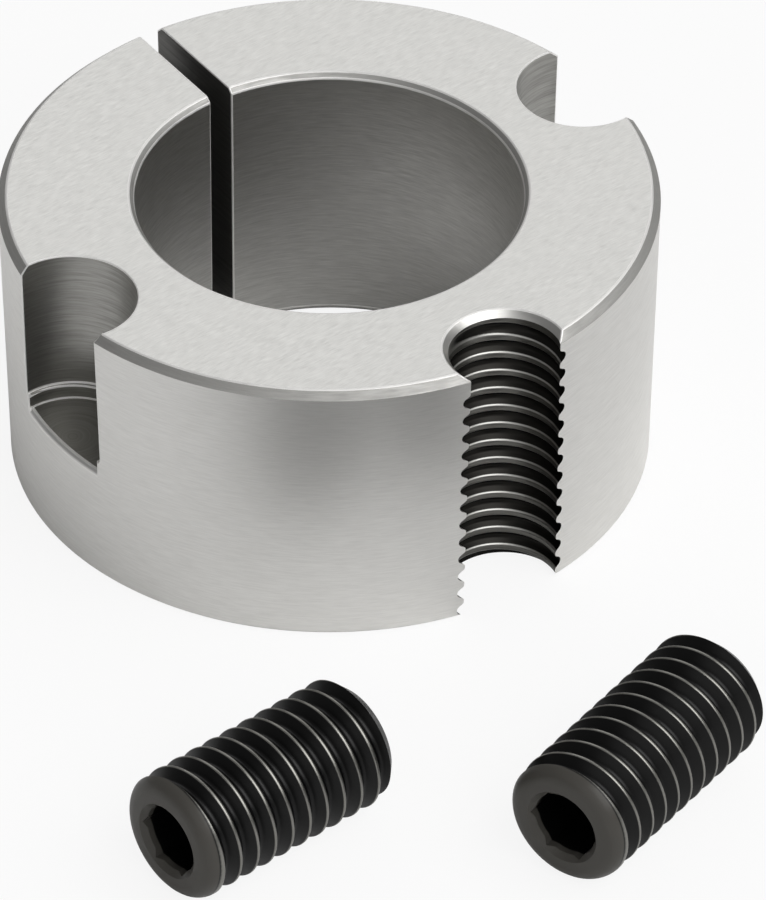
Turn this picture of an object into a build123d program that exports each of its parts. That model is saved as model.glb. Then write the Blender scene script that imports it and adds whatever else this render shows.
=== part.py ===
from build123d import *
import os
from math import ceil, isclose, radians, tan

# Taper lock bushing with its two set screws. Millimetres and degrees.
# The axis of the bore is Z, the small end stands on Z = 0 and the big end is up.
# The tapped half hole is at -Y, the split is opposite it at +Y, and the plain half holes are at +X and -X.

# Turned ring
BIG_END_DIAMETER = 47.6
LENGTH = 22.2
HALF_TAPER_ANGLE = 1.5
BORE_DIAMETER = 28.0
TOP_BEVEL = 0.6
BOTTOM_BEVEL = 0.3
TOP_BORE_BEVEL = 0.4
BOTTOM_BORE_BEVEL = 1.0
SPLIT_WIDTH = 1.8

# Half holes on one hole circle, each cut open by the taper
HOLE_CIRCLE_DIAMETER = 44.4
PLAIN_HOLE_DIAMETER = 9.6
PLAIN_HOLE_DEPTH = 12.6
FLOOR_STEP_WIDTH = 0.3
FLOOR_STEP_HEIGHT = 1.1
FLOOR_EDGE_BEVEL = 0.3
COUNTERSINK_WIDTH = 0.4475
COUNTERSINK_ANGLE = 82.0

# Thread of the screws, 3/8 in with 16 turns to the inch, and how far the tapped half hole clears its root
THREAD_PITCH = 1.5875
THREAD_DEPTH = 0.74
THREAD_CLEARANCE = 0.03

# Set screws
SCREW_DIAMETER = 9.525
LEFT_SCREW_LENGTH = 17.4
RIGHT_SCREW_LENGTH = 19.0
SCREW_FACE_DIAMETER = 6.9
SCREW_SHOULDER_DIAMETER = 8.8
SCREW_SHOULDER_HEIGHT = 0.5
SCREW_COLLAR_LENGTH = 1.9
SCREW_POINT_DIAMETER = 7.7
SOCKET_ACROSS_FLATS = 4.76
SOCKET_DEPTH = 4.8
SOCKET_MOUTH_DIAMETER = 5.8

# Length of each screw, and where it lies on the floor: X and Y of its socket end, and the way its axis points
SCREWS = {
    "set_screw_left": (LEFT_SCREW_LENGTH, -38.4, -36.5, 7.0),
    "set_screw_right": (RIGHT_SCREW_LENGTH, -14.9, -50.7, 20.4),
}

# How far a cutter runs past the face that it opens
OVERSHOOT = 1.0

# Sizes that follow from the ones above
big_radius = BIG_END_DIAMETER / 2
bore_radius = BORE_DIAMETER / 2
screw_radius = SCREW_DIAMETER / 2
hole_offset = HOLE_CIRCLE_DIAMETER / 2
floor_height = LENGTH - PLAIN_HOLE_DEPTH
through_height = LENGTH + 2 * OVERSHOOT
root_radius = screw_radius - THREAD_DEPTH
tapped_radius = root_radius + THREAD_CLEARANCE

# Cylinders and cones stand on their lower end
ON_END = (Align.CENTER, Align.CENTER, Align.MIN)


def taper_radius(z):
    """Radius of the tapered outside at height z."""
    return big_radius - (LENGTH - TOP_BEVEL - z) * tan(radians(HALF_TAPER_ANGLE))


def turned_ring():
    """The ring as it leaves the lathe, with a bevel on each of its four rims."""
    section = Polyline(
        (bore_radius, BOTTOM_BORE_BEVEL),
        (bore_radius + BOTTOM_BORE_BEVEL, 0),
        (taper_radius(BOTTOM_BEVEL) - BOTTOM_BEVEL, 0),
        (taper_radius(BOTTOM_BEVEL), BOTTOM_BEVEL),
        (big_radius, LENGTH - TOP_BEVEL),
        (big_radius - TOP_BEVEL, LENGTH),
        (bore_radius + TOP_BORE_BEVEL, LENGTH),
        (bore_radius, LENGTH - TOP_BORE_BEVEL),
        close=True,
    )
    return revolve(Plane.XZ * make_face(section), Axis.Z)


def split_cutter():
    """The saw cut through the whole wall at +Y."""
    cut = Box(
        SPLIT_WIDTH,
        big_radius + OVERSHOOT,
        through_height,
        align=(Align.CENTER, Align.MIN, Align.MIN),
    )
    return Pos(0, 0, -OVERSHOOT) * cut


def plain_hole_cutter():
    """A blind flat-floored hole on Z, with a narrower step just above the floor."""
    wide = PLAIN_HOLE_DIAMETER / 2
    narrow = wide - FLOOR_STEP_WIDTH
    depth = PLAIN_HOLE_DEPTH + OVERSHOOT
    pilot = Cylinder(narrow, depth, align=ON_END)
    hole = Cylinder(wide, depth - FLOOR_STEP_HEIGHT, align=ON_END)
    return Pos(0, 0, floor_height) * (pilot + Pos(0, 0, FLOOR_STEP_HEIGHT) * hole)


def tapped_hole_cutter():
    """The through hole on Z over the crests of its thread, and its countersink at the big end."""
    sink_depth = COUNTERSINK_WIDTH / tan(radians(COUNTERSINK_ANGLE / 2))
    hole = Cylinder(tapped_radius, through_height, align=ON_END)
    mouth = Cone(tapped_radius, tapped_radius + COUNTERSINK_WIDTH, sink_depth, align=ON_END)
    return Pos(0, 0, -OVERSHOOT) * hole + Pos(0, 0, LENGTH - sink_depth) * mouth


def floor_rims(body):
    """The two curved edges where the floors of the plain holes run out through the taper."""
    arcs = body.edges().filter_by(GeomType.CIRCLE)
    return arcs.filter_by(lambda arc: isclose(arc.radius, taper_radius(floor_height)))


def bushing_body():
    """The one-piece bushing: ring, split, two plain half holes and one tapped half hole."""
    body = turned_ring() - split_cutter()
    for side in (1, -1):
        body -= Pos(side * hole_offset, 0, 0) * plain_hole_cutter()
    body = chamfer(floor_rims(body), FLOOR_EDGE_BEVEL)
    return body - Pos(0, -hole_offset, 0) * tapped_hole_cutter()


def thread_corners(length):
    """Crest and root of the screw's thread in turn, from the collar to the last root before the point.

    The grooves are level rings one pitch apart, which stand for the one winding groove.
    """
    roots = ceil((length - SCREW_COLLAR_LENGTH) / THREAD_PITCH - 1 / 2)
    corners = []
    for turn in range(roots):
        crest = SCREW_COLLAR_LENGTH + turn * THREAD_PITCH
        corners.append((screw_radius, crest))
        corners.append((root_radius, crest + THREAD_PITCH / 2))
    return corners


def screw_blank(length):
    """The threaded screw on Z: rounded socket end at Z = 0, narrower point at the far end."""
    section = Polyline(
        (0, 0),
        (SCREW_FACE_DIAMETER / 2, 0),
        (SCREW_SHOULDER_DIAMETER / 2, SCREW_SHOULDER_HEIGHT),
        *thread_corners(length),
        (SCREW_POINT_DIAMETER / 2, length),
        (0, length),
        close=True,
    )
    return revolve(Plane.XZ * make_face(section), Axis.Z)


def socket_cutter():
    """The hexagonal socket and the round bevel at its mouth."""
    narrow = SOCKET_ACROSS_FLATS / 2
    mouth = SOCKET_MOUTH_DIAMETER / 2
    hexagon = RegularPolygon(narrow, 6, major_radius=False)
    bevel = Cone(mouth, narrow, mouth - narrow, align=ON_END)
    return extrude(hexagon, SOCKET_DEPTH) + bevel


def set_screw(length):
    """One set screw, standing on Z with its socket end down."""
    return screw_blank(length) - socket_cutter()


def lay_down(screw, x, y, heading):
    """The screw on the floor, with its socket end at x, y and its axis pointing to heading."""
    return Pos(x, y, screw_radius) * Rot(0, 0, heading) * Rot(0, 90, 0) * screw


def main():
    os.makedirs("parts", exist_ok=True)
    export_step(bushing_body(), "parts/bushing_body.step")
    for name, (length, *place) in SCREWS.items():
        export_step(lay_down(set_screw(length), *place), f"parts/{name}.step")


main()
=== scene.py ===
import logging
from dataclasses import dataclass
from enum import Enum, IntEnum
from math import atan2, cos, pi, radians, sin, tan
from typing import Callable

import bmesh
import bpy
from mathutils import Matrix, Vector


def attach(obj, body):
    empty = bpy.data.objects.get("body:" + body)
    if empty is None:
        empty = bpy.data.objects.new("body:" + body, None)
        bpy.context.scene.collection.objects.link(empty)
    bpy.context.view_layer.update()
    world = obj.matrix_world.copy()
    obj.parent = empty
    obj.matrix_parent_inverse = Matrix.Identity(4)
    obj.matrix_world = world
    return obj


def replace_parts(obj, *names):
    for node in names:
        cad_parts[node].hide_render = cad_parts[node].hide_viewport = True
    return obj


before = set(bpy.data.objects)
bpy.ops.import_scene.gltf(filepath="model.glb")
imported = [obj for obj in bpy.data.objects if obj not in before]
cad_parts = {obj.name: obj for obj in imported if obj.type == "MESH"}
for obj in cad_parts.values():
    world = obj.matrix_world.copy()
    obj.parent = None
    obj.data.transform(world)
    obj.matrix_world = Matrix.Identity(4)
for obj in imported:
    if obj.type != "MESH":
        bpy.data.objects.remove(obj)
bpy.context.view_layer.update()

LOG = logging.getLogger("bushing")

Triple = tuple[float, float, float]

# The pieces are made in millimetres and go into the scene in metres. Angles are in radians.
MM = 0.001

# From the axis of the bore to the axis of each half hole
HOLE_OFFSET = 22.2

# Facets round a small tool, and across a rounded corner of a thread
TOOL_FACETS = 96
CORNER_FACETS = 3

# How far a cutter runs past the face that it opens, on the bushing and on a screw
OVERSHOOT = 1.0
SMALL_OVERSHOOT = 0.5

# Points closer than this are one, in a turned section, between a thread's turns and after cuts
WELD = 1e-5
SEAM_WELD = 1e-4
CUT_WELD = 0.001

# A point that is closer to a plane than this lies in it
TOUCH = 1e-6

# Up or down part of a face's normal, for a level face and for one that may slope a little
LEVEL = 0.99
NEARLY_LEVEL = 0.9

# Faces that meet more sharply than this have an edge that can be broken
SHARP = radians(30)

# Most of a noise pattern's values lie between these
NOISE_LOW = 0.3
NOISE_HIGH = 0.7

# Sockets of a mix node for colours, whose names it also gives to its sockets for numbers
MIX_A = 6
MIX_B = 7
MIX_RESULT = 2

WHITE = (1.0, 1.0, 1.0, 1.0)


class Lay(Enum):
    """The way that a tool's marks run over a steel surface."""

    ROUND = "level rings round an upright wall"
    STRAIGHT = "straight strokes across a flat face"
    ARCS = "arcs round the axis of the nearest plain half hole"


class RingFace(IntEnum):
    """The ring's faces by finish, in the order of its materials."""

    TURNED = 0
    GROUND = 1
    BORED = 2
    BEVELLED = 3


def linear(hex_colour: str) -> tuple[float, float, float, float]:
    """Turns an sRGB hex colour into the linear one that a shader takes.

    Args:
        hex_colour: Six hex digits after a hash sign.

    Returns:
        Linear red, green and blue, and an alpha of 1.
    """
    # The numbers are those of the sRGB standard
    channels = [int(hex_colour[i : i + 2], 16) / 255 for i in (1, 3, 5)]
    red, green, blue = (
        c / 12.92 if c <= 0.04045 else ((c + 0.055) / 1.055) ** 2.4 for c in channels
    )
    return red, green, blue, 1.0


def add_node(
    tree: bpy.types.NodeTree,
    kind: str,
    settings: dict | None = None,
    links: dict | None = None,
) -> bpy.types.Node:
    """Adds a node with its settings and links.

    Args:
        tree: The node tree that takes the node.
        kind: The node's type, such as ShaderNodeMath.
        settings: Values by property name, or by input name or number.
        links: Output sockets by the input name or number that they go to.

    Returns:
        The new node.
    """
    node = tree.nodes.new(kind)
    for key, value in (settings or {}).items():
        if isinstance(key, str) and hasattr(node, key):
            setattr(node, key, value)
        else:
            node.inputs[key].default_value = value
    for key, socket in (links or {}).items():
        tree.links.new(socket, node.inputs[key])
    return node


def new_material(name: str) -> tuple[bpy.types.Material, bpy.types.NodeTree]:
    """Makes a material with an empty node tree.

    Args:
        name: The material's name.

    Returns:
        The material and its tree.
    """
    material = bpy.data.materials.new(name)
    material.use_nodes = True
    material.node_tree.nodes.clear()
    return material, material.node_tree


def millimetres(tree: bpy.types.NodeTree) -> bpy.types.NodeSocket:
    """Reads the piece's own coordinates.

    Args:
        tree: The material's node tree.

    Returns:
        The coordinates in millimetres.
    """
    place = add_node(tree, "ShaderNodeTexCoord")
    scaled = add_node(
        tree,
        "ShaderNodeVectorMath",
        {"operation": "SCALE", "Scale": 1 / MM},
        {"Vector": place.outputs["Object"]},
    )
    return scaled.outputs["Vector"]


def measure_from_axis(
    tree: bpy.types.NodeTree,
    place: bpy.types.NodeSocket,
    origin: Triple,
    turn: Triple = (0.0, 0.0, 0.0),
) -> tuple[bpy.types.NodeSocket, bpy.types.NodeSocket]:
    """Measures from the axis of a thread.

    Args:
        tree: The material's node tree.
        place: The piece's coordinates in millimetres.
        origin: Where the axis starts.
        turn: How the axis is turned from +Z, as Euler angles.

    Returns:
        The distance from the axis, and coordinates whose Z runs along it.
    """
    local = add_node(
        tree,
        "ShaderNodeMapping",
        {"vector_type": "TEXTURE", "Location": origin, "Rotation": turn},
        {"Vector": place},
    )
    flat = add_node(
        tree,
        "ShaderNodeVectorMath",
        {"operation": "MULTIPLY", 1: (1.0, 1.0, 0.0)},
        {0: local.outputs["Vector"]},
    )
    radius = add_node(
        tree, "ShaderNodeVectorMath", {"operation": "LENGTH"}, {0: flat.outputs["Vector"]}
    )
    return radius.outputs["Value"], local.outputs["Vector"]


@dataclass(frozen=True)
class CutSteel:
    """Bare carbon steel as a cutting tool leaves it.

    The tool's marks give the eye fine streaks along their lay, and draw each reflection out
    across it. Real marks are about 0.05 mm apart, which is too fine to show, so the streaks are
    drawn coarser. Their width, length and height are in millimetres.
    """

    name: str
    colour: str
    streak_colour: str
    lay: Lay
    roughness: float
    anisotropy: float
    streak_width: float
    streak_length: float
    mark_height: float
    turn: float = 0.0
    gloss_change: float = 0.15

    def arcs(
        self, tree: bpy.types.NodeTree, place: bpy.types.NodeSocket
    ) -> bpy.types.NodeSocket:
        """Bends coordinates round the axis of the nearest plain half hole.

        Args:
            tree: The material's node tree.
            place: The piece's coordinates in millimetres.

        Returns:
            Coordinates whose Z is the distance from that axis.
        """
        parts = add_node(tree, "ShaderNodeSeparateXYZ", links={0: place})
        side = add_node(
            tree, "ShaderNodeMath", {"operation": "ABSOLUTE"}, {0: parts.outputs["X"]}
        )
        out = add_node(
            tree,
            "ShaderNodeMath",
            {"operation": "SUBTRACT", 1: HOLE_OFFSET},
            {0: side.outputs[0]},
        )
        flat = add_node(
            tree, "ShaderNodeCombineXYZ", links={"X": out.outputs[0], "Y": parts.outputs["Y"]}
        )
        radius = add_node(
            tree, "ShaderNodeVectorMath", {"operation": "LENGTH"}, {0: flat.outputs["Vector"]}
        )
        bent = add_node(
            tree,
            "ShaderNodeCombineXYZ",
            {"Y": 0.0},
            {"X": out.outputs[0], "Z": radius.outputs["Value"]},
        )
        return bent.outputs["Vector"]

    def streaks(self, tree: bpy.types.NodeTree) -> bpy.types.NodeSocket:
        """Draws the streaks of the tool marks.

        Args:
            tree: The material's node tree.

        Returns:
            A socket that runs from 0 to 1 across the streaks.
        """
        place = millimetres(tree)
        if self.lay is Lay.ARCS:
            place = self.arcs(tree, place)
        along, across = 1 / self.streak_length, 1 / self.streak_width
        straight = self.lay is Lay.STRAIGHT
        turned = add_node(
            tree,
            "ShaderNodeMapping",
            {"Rotation": (0.0, 0.0, -self.turn)},
            {"Vector": place},
        )
        stretched = add_node(
            tree,
            "ShaderNodeMapping",
            {"Scale": (along, across, 1.0) if straight else (along, along, across)},
            {"Vector": turned.outputs["Vector"]},
        )
        noise = add_node(
            tree,
            "ShaderNodeTexNoise",
            {"Scale": 1.0, "Detail": 3.0, "Roughness": 0.6},
            {"Vector": stretched.outputs["Vector"]},
        )
        return noise.outputs["Fac"]

    def grain_direction(self, tree: bpy.types.NodeTree) -> bpy.types.NodeSocket:
        """Finds the direction of the tool marks on the surface.

        Args:
            tree: The material's node tree.

        Returns:
            A vector socket for the shader's tangent.
        """
        if self.lay is Lay.STRAIGHT:
            stroke = add_node(
                tree,
                "ShaderNodeCombineXYZ",
                {"X": cos(self.turn), "Y": sin(self.turn), "Z": 0.0},
            )
            return stroke.outputs["Vector"]
        surface = add_node(tree, "ShaderNodeNewGeometry")
        ring = add_node(
            tree,
            "ShaderNodeVectorMath",
            {"operation": "CROSS_PRODUCT", 1: (0.0, 0.0, 1.0)},
            {0: surface.outputs["Normal"]},
        )
        return ring.outputs["Vector"]

    def material(self) -> bpy.types.Material:
        """Makes the material of this finish.

        Returns:
            The material.
        """
        material, tree = new_material(self.name)
        streaks = self.streaks(tree)
        tone = add_node(
            tree,
            "ShaderNodeMix",
            {
                "data_type": "RGBA",
                MIX_A: linear(self.streak_colour),
                MIX_B: linear(self.colour),
            },
            {0: streaks},
        )
        gloss = add_node(
            tree,
            "ShaderNodeMapRange",
            {
                "From Min": NOISE_LOW,
                "From Max": NOISE_HIGH,
                "To Min": self.roughness * (1 + self.gloss_change),
                "To Max": self.roughness * (1 - self.gloss_change),
            },
            {"Value": streaks},
        )
        marks = add_node(
            tree,
            "ShaderNodeBump",
            {"Strength": 1.0, "Distance": self.mark_height * MM},
            {"Height": streaks},
        )
        links = {
            "Base Color": tone.outputs[MIX_RESULT],
            "Roughness": gloss.outputs["Result"],
            "Normal": marks.outputs["Normal"],
        }
        if self.anisotropy:
            links["Tangent"] = self.grain_direction(tree)
        steel = add_node(
            tree,
            "ShaderNodeBsdfPrincipled",
            {"Metallic": 1.0, "Anisotropic": self.anisotropy},
            links,
        )
        add_node(tree, "ShaderNodeOutputMaterial", links={"Surface": steel.outputs["BSDF"]})
        return material


@dataclass(frozen=True)
class TappedSteel:
    """Carbon steel with a cut thread, in millimetres from the thread's axis.

    Its grooves are painted dark as painted shade, and the rounded shoulders of its crests are
    painted pale as a painted highlight, with a mid grey on the flat crests between.
    """

    name: str = "tapped carbon steel"
    # The groove colour is painted shade, and the shoulder colour is a painted highlight
    groove_shade_colour: str = "#282725"
    crest_colour: str = "#72716D"
    shoulder_highlight_colour: str = "#BDBCB8"
    roughness: float = 0.35
    centre: Triple = (0.0, -HOLE_OFFSET, 0.0)
    crest_radius: float = 4.06
    shoulder_radius: float = 4.085
    flank_radius: float = 4.12
    groove_radius: float = 4.18

    def material(self) -> bpy.types.Material:
        """Makes the material of this finish.

        Returns:
            The material.
        """
        material, tree = new_material(self.name)
        radius, _ = measure_from_axis(tree, millimetres(tree), self.centre)
        # Painted highlight: the rounded shoulders of the crests are painted pale
        rounding = add_node(
            tree,
            "ShaderNodeMapRange",
            {"From Min": self.crest_radius, "From Max": self.shoulder_radius},
            {"Value": radius},
        )
        # Painted shade: the flanks and roots of the grooves are painted dark
        depth = add_node(
            tree,
            "ShaderNodeMapRange",
            {"From Min": self.flank_radius, "From Max": self.groove_radius},
            {"Value": radius},
        )
        crest = add_node(
            tree,
            "ShaderNodeMix",
            {
                "data_type": "RGBA",
                MIX_A: linear(self.crest_colour),
                MIX_B: linear(self.shoulder_highlight_colour),
            },
            {0: rounding.outputs["Result"]},
        )
        tone = add_node(
            tree,
            "ShaderNodeMix",
            {"data_type": "RGBA", MIX_B: linear(self.groove_shade_colour)},
            {0: depth.outputs["Result"], MIX_A: crest.outputs[MIX_RESULT]},
        )
        steel = add_node(
            tree,
            "ShaderNodeBsdfPrincipled",
            {"Metallic": 1.0, "Roughness": self.roughness},
            {"Base Color": tone.outputs[MIX_RESULT]},
        )
        add_node(tree, "ShaderNodeOutputMaterial", links={"Surface": steel.outputs["BSDF"]})
        return material


@dataclass(frozen=True)
class BlackOxideSteel:
    """Alloy steel blackened in a hot salt bath and oiled. Its sizes are in millimetres.

    It gives the eye a satin near-black, paler on the bare socket end and worn to grey along the
    crests. The real grain is too fine to show, so it is drawn coarser.
    """

    name: str
    place: Triple
    heading: float
    thread_radius: float
    worn_start: float
    colour: str = "#060606"
    face_colour: str = "#484642"
    worn_colour: str = "#8C8B86"
    roughness: float = 0.32
    gloss_change: float = 0.2
    specular: float = 0.25
    worn_depth: float = 0.05
    worn_fade: float = 0.1
    mottles_per_mm: float = 2.2
    mottle_height: float = 0.002

    def material(self) -> bpy.types.Material:
        """Makes the material of this finish.

        Returns:
            The material.
        """
        material, tree = new_material(self.name)
        place = millimetres(tree)
        radius, local = measure_from_axis(
            tree, place, self.place, (0.0, pi / 2, self.heading)
        )
        parts = add_node(tree, "ShaderNodeSeparateXYZ", links={0: local})
        worn = add_node(
            tree,
            "ShaderNodeMapRange",
            {
                "From Min": self.thread_radius - self.worn_depth,
                "From Max": self.thread_radius - self.worn_depth / 3,
            },
            {"Value": radius},
        )
        past_dome = add_node(
            tree,
            "ShaderNodeMapRange",
            {"From Min": self.worn_start, "From Max": self.worn_start + self.worn_fade},
            {"Value": parts.outputs["Z"]},
        )
        rubbed = add_node(
            tree,
            "ShaderNodeMath",
            {"operation": "MULTIPLY"},
            {0: worn.outputs["Result"], 1: past_dome.outputs["Result"]},
        )
        mottle = add_node(
            tree,
            "ShaderNodeTexNoise",
            {"Scale": self.mottles_per_mm, "Detail": 4.0},
            {"Vector": place},
        )
        gloss = add_node(
            tree,
            "ShaderNodeMapRange",
            {
                "To Min": self.roughness * (1 - self.gloss_change),
                "To Max": self.roughness * (1 + self.gloss_change),
            },
            {"Value": mottle.outputs["Fac"]},
        )
        black = add_node(
            tree,
            "ShaderNodeMix",
            {
                "data_type": "RGBA",
                MIX_A: linear(self.face_colour),
                MIX_B: linear(self.colour),
            },
            {0: past_dome.outputs["Result"]},
        )
        tone = add_node(
            tree,
            "ShaderNodeMix",
            {"data_type": "RGBA", MIX_B: linear(self.worn_colour)},
            {0: rubbed.outputs["Value"], MIX_A: black.outputs[MIX_RESULT]},
        )
        grain = add_node(
            tree,
            "ShaderNodeBump",
            {"Strength": 1.0, "Distance": self.mottle_height * MM},
            {"Height": mottle.outputs["Fac"]},
        )
        steel = add_node(
            tree,
            "ShaderNodeBsdfPrincipled",
            {"Specular IOR Level": self.specular},
            {
                "Base Color": tone.outputs[MIX_RESULT],
                "Roughness": gloss.outputs["Result"],
                "Metallic": rubbed.outputs["Value"],
                "Normal": grain.outputs["Normal"],
            },
        )
        add_node(tree, "ShaderNodeOutputMaterial", links={"Surface": steel.outputs["BSDF"]})
        return material


# The tapered outside: pale satin, with level feed marks that draw each reflection out upright
TURNED = CutSteel(
    name="turned carbon steel",
    colour="#F2F1EE",
    streak_colour="#DEDDDA",
    lay=Lay.ROUND,
    roughness=0.40,
    anisotropy=0.85,
    streak_width=0.12,
    streak_length=1.6,
    mark_height=0.003,
)

# The two ends: even and pale, with fine straight strokes a little off the X axis
FACED = CutSteel(
    name="ground carbon steel",
    colour="#DCDBD8",
    streak_colour="#BEBEBB",
    lay=Lay.STRAIGHT,
    roughness=0.34,
    anisotropy=0.5,
    streak_width=0.08,
    streak_length=0.9,
    mark_height=0.004,
    turn=radians(4),
)

# The bore: a dark hollow whose level rings stand out more than those outside
BORED = CutSteel(
    name="bored carbon steel",
    colour="#D8D7D4",
    streak_colour="#A8A7A4",
    lay=Lay.ROUND,
    roughness=0.38,
    anisotropy=0.7,
    streak_width=0.12,
    streak_length=1.6,
    mark_height=0.006,
)

# The walls of the plain half holes: long dark and light streaks from the side of the end mill
DRILLED = CutSteel(
    name="end-milled carbon steel",
    colour="#C2C1BD",
    streak_colour="#7C7B77",
    lay=Lay.ROUND,
    roughness=0.34,
    anisotropy=0.7,
    streak_width=0.14,
    streak_length=3.0,
    mark_height=0.010,
)

# Their floors: dull grey with faint arcs from the end of the mill
MILLED_FLOOR = CutSteel(
    name="end-milled floor of carbon steel",
    colour="#A3A29E",
    streak_colour="#767571",
    lay=Lay.ARCS,
    roughness=0.36,
    anisotropy=0.3,
    streak_width=0.22,
    streak_length=6.0,
    mark_height=0.008,
)

# The faces of the split: dark and dull, with the long scratches of a saw
SAWN = CutSteel(
    name="sawn carbon steel",
    colour="#6F6E6B",
    streak_colour="#5A5957",
    lay=Lay.ROUND,
    roughness=0.5,
    anisotropy=0.3,
    streak_width=0.3,
    streak_length=8.0,
    mark_height=0.008,
)

# The countersink: smooth and bright, with one strong highlight that fades round it
SUNK = CutSteel(
    name="countersunk carbon steel",
    colour="#D4D3D0",
    streak_colour="#BFBEBA",
    lay=Lay.ROUND,
    roughness=0.34,
    anisotropy=0.6,
    streak_width=0.12,
    streak_length=3.0,
    mark_height=0.003,
)

# The edges where the floors run out: a soft pale band without a grain
FILED = CutSteel(
    name="filed bevel of carbon steel",
    colour="#EDECE9",
    streak_colour="#DBDAD7",
    lay=Lay.ROUND,
    roughness=0.45,
    anisotropy=0.0,
    streak_width=0.3,
    streak_length=2.0,
    mark_height=0.002,
)

# The bevels of the big end: the same turned steel painted a darker mid grey, a painted shade, and
# matt
BEVELLED = CutSteel(
    name="turned bevel of carbon steel",
    colour="#BDBCB9",
    streak_colour="#ABAAA7",
    lay=Lay.ROUND,
    roughness=0.6,
    anisotropy=0.0,
    streak_width=0.12,
    streak_length=1.6,
    mark_height=0.003,
)

# The broken edges: a thin line painted lighter than the faces that meet there, a painted highlight
PAINTED_EDGE_HIGHLIGHT = CutSteel(
    name="edge break of carbon steel with a painted highlight",
    colour="#F8F7F5",
    streak_colour="#F4F3F1",
    lay=Lay.ROUND,
    roughness=0.62,
    anisotropy=0.0,
    streak_width=0.5,
    streak_length=2.0,
    mark_height=0.0,
)


def everything(bm: bmesh.types.BMesh) -> list:
    """All points, edges and faces of a mesh."""
    return list(bm.verts) + list(bm.edges) + list(bm.faces)


def lathe(bm: bmesh.types.BMesh, section: list[tuple[float, float]], steps: int) -> None:
    """Spins a closed section round the Z axis into a solid.

    Args:
        bm: The mesh to add to.
        section: Radius and height of each corner, in order.
        steps: Number of facets round the axis.
    """
    points = [bm.verts.new((r, 0.0, z)) for r, z in section]
    edges = [bm.edges.new((a, b)) for a, b in zip(points, points[1:] + points[:1])]
    bmesh.ops.spin(
        bm,
        geom=points + edges,
        cent=(0.0, 0.0, 0.0),
        axis=(0.0, 0.0, 1.0),
        angle=2 * pi,
        steps=steps,
        use_merge=True,
    )
    bmesh.ops.remove_doubles(bm, verts=bm.verts, dist=WELD)
    bmesh.ops.dissolve_degenerate(bm, edges=bm.edges, dist=TOUCH)
    bmesh.ops.recalc_face_normals(bm, faces=bm.faces)


@dataclass(frozen=True)
class Thread:
    """One right-hand thread with rounded crests and roots, in millimetres.

    Its pitch is that of 16 turns to the inch.
    """

    crest_radius: float
    root_radius: float
    crest_flat: float
    root_flat: float
    crest_rounding: float
    root_rounding: float
    pitch: float = 1.5875
    steps: int = 72

    def surface(
        self, bm: bmesh.types.BMesh, low: float, high: float, first_groove: float
    ) -> None:
        """Winds the thread's skin round Z, and closes it with a flat end at each height.

        Args:
            bm: The mesh to add to.
            low: Height of the lower end.
            high: Height of the upper end.
            first_groove: Height where the groove starts.
        """
        half = self.pitch / 2
        profile = [
            (self.crest_radius, 0.0),
            (self.crest_radius, self.crest_flat / 2),
            (self.root_radius, half - self.root_flat / 2),
            (self.root_radius, half + self.root_flat / 2),
            (self.crest_radius, self.pitch - self.crest_flat / 2),
            (self.crest_radius, self.pitch),
        ]
        spare_turns = 2
        base = low - spare_turns * self.pitch
        turns = int((high - base) / self.pitch) + spare_turns
        points = [bm.verts.new((r, 0.0, base + z)) for r, z in profile]
        for a, b in zip(points, points[1:]):
            bm.edges.new((a, b))
        for pair, rounding in (
            ((points[1], points[4]), self.crest_rounding),
            ((points[2], points[3]), self.root_rounding),
        ):
            bmesh.ops.bevel(
                bm,
                geom=pair,
                offset=rounding,
                offset_type="OFFSET",
                segments=CORNER_FACETS,
                profile=0.5,
                affect="VERTICES",
                material=-1,
            )
        bmesh.ops.spin(
            bm,
            geom=everything(bm),
            cent=(0.0, 0.0, 0.0),
            axis=(0.0, 0.0, 1.0),
            dvec=(0.0, 0.0, self.pitch / self.steps),
            angle=2 * pi,
            steps=self.steps,
        )
        skin = everything(bm)
        for _ in range(turns - 1):
            skin = bmesh.ops.duplicate(bm, geom=skin)["geom"]
            verts = [part for part in skin if isinstance(part, bmesh.types.BMVert)]
            bmesh.ops.translate(bm, vec=(0.0, 0.0, self.pitch), verts=verts)
        self.run_out(bm, base, first_groove)
        bmesh.ops.remove_doubles(bm, verts=bm.verts, dist=SEAM_WELD)
        for height, normal in ((low, -1.0), (high, 1.0)):
            bmesh.ops.bisect_plane(
                bm,
                geom=everything(bm),
                dist=TOUCH,
                plane_co=(0.0, 0.0, height),
                plane_no=(0.0, 0.0, normal),
                clear_outer=True,
            )
        rims = [edge for edge in bm.edges if edge.is_boundary]
        bmesh.ops.holes_fill(bm, edges=rims, sides=0)
        bmesh.ops.recalc_face_normals(bm, faces=bm.faces)

    def run_out(self, bm: bmesh.types.BMesh, base: float, first_groove: float) -> None:
        """Fills the groove up to a height, and lets it deepen over a third of a turn from there.

        Args:
            bm: The mesh of the skin before its turns are joined.
            base: Height of the skin's first point.
            first_groove: Height where the groove starts.
        """
        lead = self.pitch / 3
        for vert in bm.verts:
            turn = atan2(vert.co.y, vert.co.x) / (2 * pi)
            rise = round(turn * self.steps) % self.steps / self.steps * self.pitch
            count = int((vert.co.z - base - rise + WELD) / self.pitch)
            middle = base + (count + 0.5) * self.pitch + rise
            share = min(1.0, max(0.0, (middle - first_groove) / lead))
            radius = Vector((vert.co.x, vert.co.y)).length
            wanted = self.crest_radius + (radius - self.crest_radius) * share
            vert.co.x *= wanted / radius
            vert.co.y *= wanted / radius


# The tap, which leaves a thread 0.5 mm deep with broad round grooves
TAP_THREAD = Thread(
    crest_radius=4.0525,
    root_radius=4.55,
    crest_flat=0.42,
    root_flat=0.46,
    crest_rounding=0.10,
    root_rounding=0.2,
)

# The set screws, of 3/8 in
SCREW_THREAD = Thread(
    crest_radius=4.7625,
    root_radius=4.0225,
    crest_flat=0.2,
    root_flat=0.3,
    crest_rounding=0.08,
    root_rounding=0.12,
)


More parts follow.
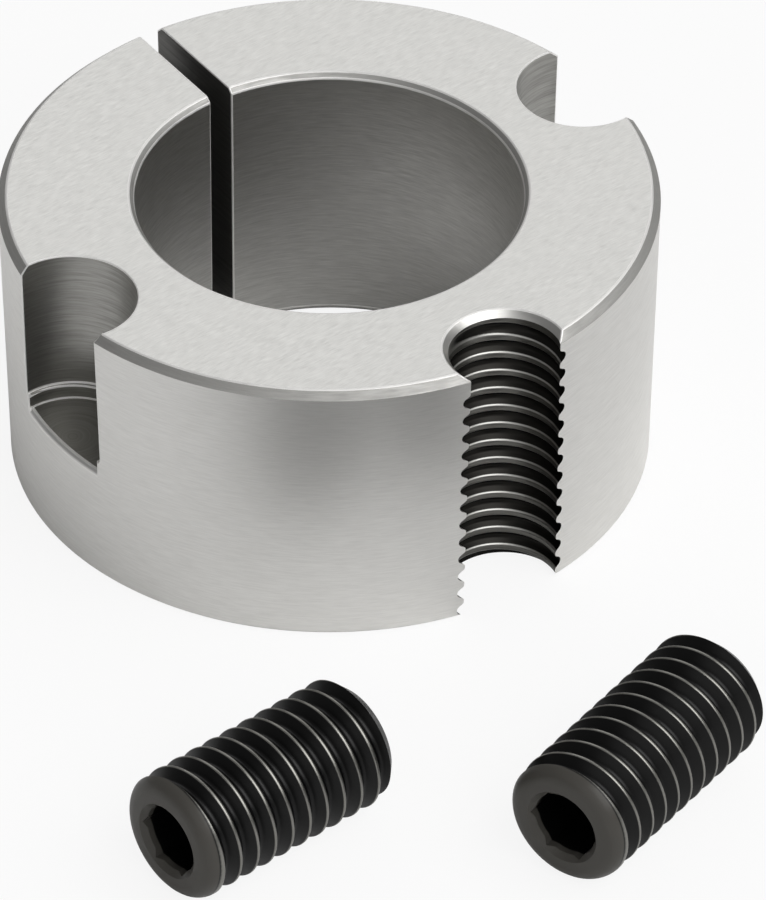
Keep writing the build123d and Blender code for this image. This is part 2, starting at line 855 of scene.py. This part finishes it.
def put_in_scene(name: str, data: bpy.types.ID) -> bpy.types.Object:
    """Puts a mesh, a light or a camera into the scene.

    Args:
        name: The object's name.
        data: The mesh, light or camera.

    Returns:
        Its object, at the origin.
    """
    made = bpy.data.objects.new(name, data)
    bpy.context.scene.collection.objects.link(made)
    return made


def new_object(
    name: str, bm: bmesh.types.BMesh, materials: list[bpy.types.Material]
) -> bpy.types.Object:
    """Puts a mesh in millimetres into the scene as an object in metres.

    Args:
        name: The object's name.
        bm: The mesh, which is freed.
        materials: Its materials, in the order of its faces' indices.

    Returns:
        The object, at the origin.
    """
    bmesh.ops.scale(bm, vec=(MM, MM, MM), verts=bm.verts)
    mesh = bpy.data.meshes.new(name)
    bm.to_mesh(mesh)
    bm.free()
    for material in materials:
        mesh.materials.append(material)
    return put_in_scene(name, mesh)


def cut(body: bpy.types.Object, cutter: bpy.types.Object) -> None:
    """Cuts one solid out of another. The cut faces keep the material of the cutter, which goes.

    Args:
        body: The solid that is cut.
        cutter: The solid that is taken away.
    """
    step = body.modifiers.new("cut", "BOOLEAN")
    step.operation = "DIFFERENCE"
    step.solver = "EXACT"
    step.material_mode = "TRANSFER"
    step.object = cutter
    evaluated = body.evaluated_get(bpy.context.evaluated_depsgraph_get())
    mesh = bpy.data.meshes.new_from_object(evaluated)
    body.modifiers.clear()
    old = body.data
    body.data = mesh
    bpy.data.meshes.remove(old)
    bpy.data.objects.remove(cutter)


def break_edges(
    piece: bpy.types.Object,
    width: float,
    segments: int,
    chosen: Callable[[list[str]], bool],
    finish: bpy.types.Material,
) -> None:
    """Bevels the chosen sharp edges of a piece.

    Args:
        piece: The piece.
        width: Width of the bevel on each face.
        segments: Number of facets across it.
        chosen: Says by the names of the two materials beside an edge whether it is bevelled.
        finish: The bevel's own material.
    """
    names = [material.name for material in piece.data.materials]
    bm = bmesh.new()
    bm.from_mesh(piece.data)
    bmesh.ops.remove_doubles(bm, verts=bm.verts, dist=CUT_WELD * MM)
    edges = []
    for edge in bm.edges:
        if len(edge.link_faces) == 2 and edge.calc_face_angle(0.0) > SHARP:
            if chosen([names[face.material_index] for face in edge.link_faces]):
                edges.append(edge)
    made = bmesh.ops.bevel(
        bm,
        geom=edges,
        offset=width * MM,
        offset_type="OFFSET",
        segments=segments,
        profile=0.5,
        affect="EDGES",
        loop_slide=False,
        material=-1,
    )
    piece.data.materials.append(finish)
    for face in made["faces"]:
        face.material_index = len(names)
    bm.to_mesh(piece.data)
    bm.free()


def smooth_facets(piece: bpy.types.Object, angle: float) -> None:
    """Smooths the facets of a piece and keeps its edges sharp.

    Args:
        piece: The piece.
        angle: Faces that meet more sharply than this keep their edge.
    """
    for polygon in piece.data.polygons:
        polygon.use_smooth = True
    piece.data.set_sharp_from_angle(angle=angle)


@dataclass
class Bushing:
    """The tapered ring with its bore, its split and its three half holes, in millimetres."""

    big_end_diameter: float = 47.6
    length: float = 22.2
    half_taper: float = radians(1.5)
    bore_diameter: float = 28.0
    top_bevel: float = 0.6
    bottom_bevel: float = 0.3
    top_bore_bevel: float = 0.4
    bottom_bore_bevel: float = 1.0
    split_width: float = 1.8
    hole_offset: float = HOLE_OFFSET
    plain_hole_diameter: float = 9.6
    plain_hole_depth: float = 12.6
    floor_step_width: float = 0.3
    floor_step_height: float = 1.1
    floor_step_slope: float = 0.25
    floor_edge_bevel: float = 0.3
    countersink_diameter: float = 9.0
    half_countersink: float = radians(41.0)
    tapped_mouth: float = 1.1
    tapped_phase: float = radians(-80.0)
    edge_break: float = 0.11
    facets: int = 240
    smooth_angle: float = radians(28)
    thread: Thread = TAP_THREAD

    def taper_radius(self, height: float) -> float:
        """Radius of the tapered outside at a height."""
        below = self.length - self.top_bevel - height
        return self.big_end_diameter / 2 - below * tan(self.half_taper)

    def ring(self, materials: list[bpy.types.Material]) -> bpy.types.Object:
        """Turns the ring, with its outside, ends, bore and upper bevels in their own finishes.

        Args:
            materials: The materials in the order of RingFace.

        Returns:
            The ring.
        """
        outer = self.big_end_diameter / 2
        bore = self.bore_diameter / 2
        low = self.taper_radius(self.bottom_bevel)
        margin = 0.01
        bm = bmesh.new()
        lathe(
            bm,
            [
                (bore, self.bottom_bore_bevel),
                (bore + self.bottom_bore_bevel, 0.0),
                (low - self.bottom_bevel, 0.0),
                (low, self.bottom_bevel),
                (outer, self.length - self.top_bevel),
                (outer - self.top_bevel, self.length),
                (bore + self.top_bore_bevel, self.length),
                (bore, self.length - self.top_bore_bevel),
            ],
            self.facets,
        )
        for face in bm.faces:
            middle = face.calc_center_median()
            if abs(face.normal.z) > LEVEL:
                face.material_index = RingFace.GROUND
            elif Vector((middle.x, middle.y)).length < bore + margin:
                face.material_index = RingFace.BORED
            elif middle.z > self.length - self.top_bevel:
                face.material_index = RingFace.BEVELLED
            else:
                face.material_index = RingFace.TURNED
        return new_object("bushing", bm, materials)

    def split_cutter(self, materials: list[bpy.types.Material]) -> bpy.types.Object:
        """Makes the saw's cut at +Y.

        Args:
            materials: The steel of the sawn faces.

        Returns:
            The cutter.
        """
        depth = self.big_end_diameter / 2 + OVERSHOOT
        height = self.length + 2 * OVERSHOOT
        bm = bmesh.new()
        bmesh.ops.create_cube(bm, size=1.0)
        bmesh.ops.scale(bm, vec=(self.split_width, depth, height), verts=bm.verts)
        bmesh.ops.translate(bm, vec=(0.0, depth / 2, self.length / 2), verts=bm.verts)
        return new_object("saw", bm, materials)

    def plain_hole_cutter(
        self, side: int, materials: list[bpy.types.Material]
    ) -> bpy.types.Object:
        """Makes the end mill of one plain half hole.

        Args:
            side: 1 for the hole at +X and -1 for the one at -X.
            materials: The steel of the hole's wall and of its floor.

        Returns:
            The cutter.
        """
        wide = self.plain_hole_diameter / 2
        narrow = wide - self.floor_step_width
        floor = self.length - self.plain_hole_depth
        step = floor + self.floor_step_height
        bm = bmesh.new()
        lathe(
            bm,
            [
                (0.0, floor),
                (narrow, floor),
                (narrow, step),
                (wide, step + self.floor_step_slope * self.floor_step_width),
                (wide, self.length + OVERSHOOT),
                (0.0, self.length + OVERSHOOT),
            ],
            TOOL_FACETS,
        )
        # The floor and the step above it take the second material
        for face in bm.faces:
            if face.normal.z < -NEARLY_LEVEL:
                face.material_index = 1
        bmesh.ops.translate(bm, vec=(side * self.hole_offset, 0.0, 0.0), verts=bm.verts)
        return new_object("end_mill", bm, materials)

    def tap(self, materials: list[bpy.types.Material]) -> bpy.types.Object:
        """Makes the tap of the half hole at -Y, whose groove starts below a plain mouth.

        Args:
            materials: The steel of the thread.

        Returns:
            The cutter.
        """
        bm = bmesh.new()
        self.thread.surface(bm, -OVERSHOOT, self.length + OVERSHOOT, self.tapped_mouth)
        turned_over = Matrix.Rotation(pi, 3, "X") @ Matrix.Rotation(self.tapped_phase, 3, "Z")
        bmesh.ops.rotate(bm, cent=(0.0, 0.0, 0.0), matrix=turned_over, verts=bm.verts)
        bmesh.ops.translate(bm, vec=(0.0, -self.hole_offset, self.length), verts=bm.verts)
        return new_object("tap", bm, materials)

    def countersink(self, materials: list[bpy.types.Material]) -> bpy.types.Object:
        """Makes the countersink of the tapped half hole.

        Args:
            materials: The steel of the countersink.

        Returns:
            The cutter.
        """
        sink = self.countersink_diameter / 2
        slope = tan(self.half_countersink)
        bm = bmesh.new()
        lathe(
            bm,
            [
                (0.0, self.length - sink / slope),
                (sink, self.length),
                (sink + OVERSHOOT * slope, self.length + OVERSHOOT),
                (0.0, self.length + OVERSHOOT),
            ],
            TOOL_FACETS,
        )
        bmesh.ops.translate(bm, vec=(0.0, -self.hole_offset, 0.0), verts=bm.verts)
        return new_object("countersink", bm, materials)

    def true_normal(self, finish: str, place: Vector) -> Vector | None:
        """Works out the exact normal of a tapered or round wall.

        Args:
            finish: Name of the wall's material.
            place: A point of the wall.

        Returns:
            The normal, or None where the finish is of no such wall.
        """
        if finish == TURNED.name:
            out = Vector((place.x, place.y, 0.0)).normalized() * cos(self.half_taper)
            return out - Vector((0.0, 0.0, sin(self.half_taper)))
        if finish == BORED.name:
            return Vector((-place.x, -place.y, 0.0)).normalized()
        if finish == DRILLED.name:
            offset = self.hole_offset * (1 if place.x > 0 else -1)
            return Vector((offset - place.x, -place.y, 0.0)).normalized()
        return None

    def true_normals(self, body: bpy.types.Object) -> None:
        """Gives flat and round faces their exact normals, so that no reflection bends at an edge.

        A face that isn't part of its finish's wall, such as a bevel, keeps its own normal.

        Args:
            body: The finished bushing.
        """
        part_of_wall = 0.98
        mesh = body.data
        names = [material.name for material in mesh.materials]
        normals = [corner.vector.copy() for corner in mesh.corner_normals]
        for polygon in mesh.polygons:
            for corner in polygon.loop_indices:
                place = mesh.vertices[mesh.loops[corner].vertex_index].co / MM
                exact = self.true_normal(names[polygon.material_index], place)
                if abs(polygon.normal.z) > LEVEL:
                    normals[corner] = polygon.normal.copy()
                elif exact and exact.dot(polygon.normal) > part_of_wall:
                    normals[corner] = exact
        mesh.normals_split_custom_set(normals)

    def build(self) -> bpy.types.Object:
        """Makes the whole bushing in its finishes.

        Returns:
            The bushing.
        """
        finishes = (TURNED, FACED, BORED, BEVELLED)
        turned, ground, bored, bevelled = (finish.material() for finish in finishes)
        body = self.ring([turned, ground, bored, bevelled])
        cut(body, self.split_cutter([SAWN.material()]))
        drilled, floor = DRILLED.material(), MILLED_FLOOR.material()
        for side in (1, -1):
            cut(body, self.plain_hole_cutter(side, [drilled, floor]))
        run_out = {turned.name, floor.name}
        break_edges(
            body,
            self.floor_edge_bevel,
            segments=1,
            chosen=lambda names: set(names) == run_out,
            finish=FILED.material(),
        )
        tapped = TappedSteel().material()
        cut(body, self.countersink([SUNK.material()]))
        cut(body, self.tap([tapped]))
        one_turning = {turned.name, bevelled.name}
        # The broken edges get a painted highlight, a lighter colour than the faces beside them
        break_edges(
            body,
            self.edge_break,
            segments=2,
            chosen=lambda names: (
                names[0] != names[1] and tapped.name not in names and set(names) != one_turning
            ),
            finish=PAINTED_EDGE_HIGHLIGHT.material(),
        )
        smooth_facets(body, self.smooth_angle)
        self.true_normals(body)
        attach(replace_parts(body, "bushing_body"), "root")
        return body


@dataclass
class SetScrew:
    """A set screw with a hexagonal socket, lying on the floor, in millimetres."""

    name: str
    node: str
    x: float
    y: float
    heading: float
    length: float
    diameter: float = 9.525
    face_diameter: float = 6.9
    dome_length: float = 1.25
    dome_rings: int = 8
    point_bevel: float = 0.9
    groove_start: float = 0.8
    socket_across_flats: float = 4.76
    socket_depth: float = 4.8
    socket_mouth_diameter: float = 5.8
    socket_drill_diameter: float = 5.0
    smooth_angle: float = radians(32)
    thread: Thread = SCREW_THREAD

    def dome_radius(self, height: float) -> float:
        """Works out the radius of the dome, an arc that runs smoothly into the thread.

        Args:
            height: Height above the socket end's face.

        Returns:
            The radius at that height.
        """
        reach = self.diameter / 2 - self.face_diameter / 2
        bow = (reach**2 + self.dome_length**2) / (2 * reach)
        fall = self.dome_length - height
        return self.diameter / 2 - bow + (bow**2 - fall**2) ** 0.5

    def blank(self, materials: list[bpy.types.Material]) -> bpy.types.Object:
        """Makes the threaded rod with its domed end at Z = 0.

        Args:
            materials: The screw's steel.

        Returns:
            The rod.
        """
        bm = bmesh.new()
        self.thread.surface(bm, 0.0, self.length, self.groove_start)
        for ring in range(1, self.dome_rings + 1):
            bmesh.ops.bisect_plane(
                bm,
                geom=everything(bm),
                dist=TOUCH,
                plane_co=(0.0, 0.0, self.dome_length * ring / self.dome_rings),
                plane_no=(0.0, 0.0, 1.0),
            )
        for vert in bm.verts:
            if vert.co.z < self.dome_length:
                radius = Vector((vert.co.x, vert.co.y)).length
                wanted = min(radius, self.dome_radius(vert.co.z))
                vert.co.x *= wanted / radius
                vert.co.y *= wanted / radius
        return new_object(self.name, bm, materials)

    def point_cutter(self, materials: list[bpy.types.Material]) -> bpy.types.Object:
        """Makes the ring that bevels the far end.

        Args:
            materials: The screw's steel.

        Returns:
            The cutter.
        """
        radius = self.diameter / 2
        past_end, past_side = 0.2, SMALL_OVERSHOOT
        bm = bmesh.new()
        lathe(
            bm,
            [
                (radius - self.point_bevel - past_end, self.length + past_end),
                (radius + past_side, self.length - self.point_bevel - past_side),
                (radius + past_side, self.length + past_end),
            ],
            TOOL_FACETS,
        )
        return new_object("point_tool", bm, materials)

    def socket_cutter(self, materials: list[bpy.types.Material]) -> bpy.types.Object:
        """Makes the punch of the hexagonal socket.

        Args:
            materials: The screw's steel.

        Returns:
            The cutter.
        """
        bm = bmesh.new()
        height = self.socket_depth + OVERSHOOT
        corner_radius = self.socket_across_flats / 2 / cos(pi / 6)
        bmesh.ops.create_cone(
            bm,
            cap_ends=True,
            segments=6,
            radius1=corner_radius,
            radius2=corner_radius,
            depth=height,
        )
        bmesh.ops.translate(bm, vec=(0.0, 0.0, height / 2 - OVERSHOOT), verts=bm.verts)
        return new_object("hexagon_punch", bm, materials)

    def drill(self, materials: list[bpy.types.Material]) -> bpy.types.Object:
        """Makes the drill that opens the socket before its corners are punched.

        Args:
            materials: The screw's steel.

        Returns:
            The cutter.
        """
        radius = self.socket_drill_diameter / 2
        depth = self.socket_depth
        bm = bmesh.new()
        lathe(
            bm,
            [(0.0, -SMALL_OVERSHOOT), (radius, -SMALL_OVERSHOOT), (radius, depth), (0.0, depth)],
            TOOL_FACETS,
        )
        return new_object("drill", bm, materials)

    def mouth_cutter(self, materials: list[bpy.types.Material]) -> bpy.types.Object:
        """Makes the round bevel at the socket's mouth.

        Args:
            materials: The screw's steel.

        Returns:
            The cutter.
        """
        mouth = self.socket_mouth_diameter / 2
        over = SMALL_OVERSHOOT
        bm = bmesh.new()
        lathe(bm, [(0.0, -over), (mouth + over, -over), (0.0, mouth)], TOOL_FACETS)
        return new_object("mouth_tool", bm, materials)

    def build(self) -> bpy.types.Object:
        """Makes the screw where it lies.

        Returns:
            The screw.
        """
        radius = self.diameter / 2
        finish = BlackOxideSteel(
            name=f"black-oxide alloy steel, {self.name.replace('_', ' ')}",
            place=(self.x, self.y, radius),
            heading=self.heading,
            thread_radius=radius,
            worn_start=self.groove_start,
        )
        materials = [finish.material()]
        screw = self.blank(materials)
        for cutter in (self.point_cutter, self.mouth_cutter, self.drill, self.socket_cutter):
            cut(screw, cutter(materials))
        place = (
            Matrix.Translation(Vector((self.x, self.y, radius)) * MM)
            @ Matrix.Rotation(self.heading, 4, "Z")
            @ Matrix.Rotation(pi / 2, 4, "Y")
        )
        screw.data.transform(place)
        smooth_facets(screw, self.smooth_angle)
        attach(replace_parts(screw, self.node), "root")
        return screw


@dataclass(frozen=True)
class SoftBox:
    """A soft box that faces the bushing.

    Its azimuth is in degrees anticlockwise from +X, seen from above, and its elevation in
    degrees above the floor. Its distance, width and height are in metres. At a level of 1 its
    face is white.
    """

    name: str
    azimuth: float
    elevation: float
    distance: float
    width: float
    height: float
    level: float

    def hang(self) -> None:
        """Hangs the soft box in the scene."""
        light = bpy.data.lights.new(self.name, "AREA")
        light.shape = "RECTANGLE"
        light.size, light.size_y = self.width, self.height
        light.energy = self.level * pi * self.width * self.height
        lamp = put_in_scene(self.name, light)
        azimuth, elevation = radians(self.azimuth), radians(self.elevation)
        way = Vector(
            (cos(elevation) * cos(azimuth), cos(elevation) * sin(azimuth), sin(elevation))
        )
        lamp.location = way * self.distance
        lamp.rotation_euler = (-way).to_track_quat("-Z", "Y").to_euler()
        lamp.visible_camera = False


SOFT_BOXES = (
    SoftBox("back soft box", 56.0, 40.0, distance=1.3, width=0.9, height=0.9, level=1.06),
    SoftBox("front soft box", 284.0, 47.0, distance=1.2, width=1.2, height=0.9, level=2.4),
    SoftBox("right soft box", 326.0, 55.0, distance=1.2, width=1.2, height=1.0, level=0.8),
    SoftBox("left soft box", 228.0, 26.0, distance=1.3, width=1.6, height=1.0, level=0.55),
)


@dataclass
class Studio:
    """The pale floor, the soft boxes and the camera, in metres.

    The camera's lens and sensor are in millimetres.
    """

    floor_colour: str = "#F1F1F1"
    floor_reach: float = 4.0
    floor_lift: float = 0.88
    world_level: float = 0.2
    soft_boxes: tuple[SoftBox, ...] = SOFT_BOXES
    camera_place: Triple = (-0.39818, -0.59066, 0.56106)
    camera_aim: Triple = (0.44218, 0.64833, -0.6198)
    lens: float = 497.84
    sensor_width: float = 36.0
    nearest: float = 0.01
    farthest: float = 50.0

    def floor(self) -> None:
        """Lays a floor of matt white paper, which looks nearly white and keeps a faint shadow."""
        material, tree = new_material("white paper")
        ray = add_node(tree, "ShaderNodeLightPath")
        lift = add_node(
            tree,
            "ShaderNodeMath",
            {"operation": "MULTIPLY", 1: self.floor_lift},
            {0: ray.outputs["Is Camera Ray"]},
        )
        paper = add_node(
            tree,
            "ShaderNodeBsdfPrincipled",
            {"Base Color": linear(self.floor_colour), "Roughness": 0.9, "Specular IOR Level": 0.1},
        )
        white = add_node(tree, "ShaderNodeEmission", {"Color": WHITE, "Strength": 1.0})
        mixed = add_node(
            tree,
            "ShaderNodeMixShader",
            links={
                0: lift.outputs["Value"],
                1: paper.outputs["BSDF"],
                2: white.outputs["Emission"],
            },
        )
        add_node(tree, "ShaderNodeOutputMaterial", links={"Surface": mixed.outputs["Shader"]})
        bm = bmesh.new()
        bmesh.ops.create_grid(bm, x_segments=1, y_segments=1, size=self.floor_reach / MM)
        floor = new_object("floor", bm, [material])

    def world(self) -> None:
        """Sets the even light of a white room."""
        world = bpy.data.worlds.new("white room")
        world.use_nodes = True
        tree = world.node_tree
        tree.nodes.clear()
        ray = add_node(tree, "ShaderNodeLightPath")
        room = add_node(
            tree, "ShaderNodeBackground", {"Color": WHITE, "Strength": self.world_level}
        )
        white = add_node(tree, "ShaderNodeBackground", {"Color": WHITE, "Strength": 1.0})
        mixed = add_node(
            tree,
            "ShaderNodeMixShader",
            links={
                0: ray.outputs["Is Camera Ray"],
                1: room.outputs["Background"],
                2: white.outputs["Background"],
            },
        )
        add_node(tree, "ShaderNodeOutputWorld", links={"Surface": mixed.outputs["Shader"]})
        bpy.context.scene.world = world

    def camera(self) -> None:
        """Sets up the camera at the photograph's viewing angle."""
        data = bpy.data.cameras.new("camera")
        data.lens = self.lens
        data.sensor_width = self.sensor_width
        data.clip_start = self.nearest
        data.clip_end = self.farthest
        camera = put_in_scene("camera", data)
        camera.location = self.camera_place
        camera.rotation_euler = Vector(self.camera_aim).to_track_quat("-Z", "Y").to_euler()
        bpy.context.scene.camera = camera

    def build(self) -> None:
        """Sets up the floor, the lights, the camera and the view."""
        self.floor()
        self.world()
        for soft_box in self.soft_boxes:
            soft_box.hang()
        self.camera()
        bpy.context.scene.view_settings.view_transform = "Standard"


def main() -> None:
    """Builds the bushing, its screws and the studio."""
    logging.basicConfig(level=logging.INFO)
    pieces = [
        Bushing(),
        SetScrew(
            name="left_set_screw",
            node="set_screw_left",
            x=-38.4,
            y=-36.5,
            heading=radians(7.0),
            length=17.4,
        ),
        SetScrew(
            name="right_set_screw",
            node="set_screw_right",
            x=-14.9,
            y=-50.7,
            heading=radians(20.4),
            length=19.0,
        ),
    ]
    for piece in pieces:
        made = piece.build()
        LOG.info("%s: %d faces", made.name, len(made.data.polygons))
    Studio().build()


if __name__ == "__main__":
    main()
